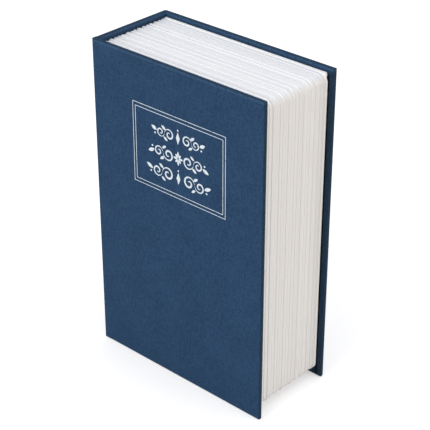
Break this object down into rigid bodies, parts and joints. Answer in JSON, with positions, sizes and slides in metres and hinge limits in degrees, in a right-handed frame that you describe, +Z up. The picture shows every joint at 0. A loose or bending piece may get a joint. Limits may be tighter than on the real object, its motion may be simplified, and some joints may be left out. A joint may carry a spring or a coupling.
{
  "type": "book diversion safe",
  "caption": "Small lockable steel box hidden in a false book with cloth-covered boards and a moulded block of ribbed pages.",
  "frame": {"origin": "middle of the closed book's lower face, on the surface that it stands on", "axes": "+X from the spine to the fore edge, -Y the front cover faces, +Z up along the height of the book"},
  "size_m": [0.114, 0.053, 0.18],
  "materials": {
    "book_cloth": "fine plain-weave book cloth, navy blue, matt",
    "greyboard": "pressed grey pulp board",
    "endpaper": "uncoated white paper",
    "pages": "white moulded plastic, fine satin, ribbed like the edges of pages",
    "box_paint": "black powder coat on sheet steel",
    "zinc_plate": "bright zinc plate",
    "lock_chrome": "polished chrome plate on die-cast zinc",
    "rivet_alloy": "plain aluminium"
  },
  "bodies": {
    "case": {"spine_cloth": "book_cloth", "spine_board": "greyboard", "back_cloth": "book_cloth", "back_board": "greyboard", "back_endpaper": "endpaper", "page_block": "pages", "steel_box": "box_paint", "strike": "zinc_plate", "rivet_1": "rivet_alloy", "rivet_2": "rivet_alloy", "rivet_3": "rivet_alloy", "rivet_4": "rivet_alloy", "hinge_box_leaf": "zinc_plate", "hinge_pin": "zinc_plate"},
    "cloth_joint": {"hinge_cloth": "book_cloth"},
    "front_cover": {"front_cloth": "book_cloth", "front_board": "greyboard", "front_endpaper": "endpaper"},
    "lid": {"lid": "box_paint", "hinge_lid_leaf": "zinc_plate", "lock_barrel": "lock_chrome", "lock_washer": "zinc_plate", "lock_nut": "zinc_plate"},
    "lock_core": {"lock_plug": "lock_chrome", "lock_cam": "zinc_plate", "cam_washer": "zinc_plate", "cam_screw": "zinc_plate"}
  },
  "joints": [
    {"name": "lid_open", "type": "hinge", "parent": "case", "child": "lid", "pos_m": [-0.04178, -0.01962, 0.09], "axis": [0, 0, -1], "range_deg": [0, 90]},
    {"name": "cover_carry", "type": "hinge", "parent": "case", "child": "cloth_joint", "pos_m": [-0.05655, -0.02605, 0.09], "axis": [0, 0, -1], "range_deg": [0, 90]},
    {"name": "cover_open", "type": "hinge", "parent": "cloth_joint", "child": "front_cover", "pos_m": [-0.05295, -0.0265, 0.09], "axis": [0, 0, -1], "range_deg": [0, 170]},
    {"name": "lock_turn", "type": "hinge", "parent": "lid", "child": "lock_core", "pos_m": [0.0261, -0.0148, 0.09], "axis": [0, -1, 0], "range_deg": [0, 90]}
  ],
  "couplings": [
    {"joint": "cover_carry", "follows": "lid_open", "ratio": 1}
  ]
}
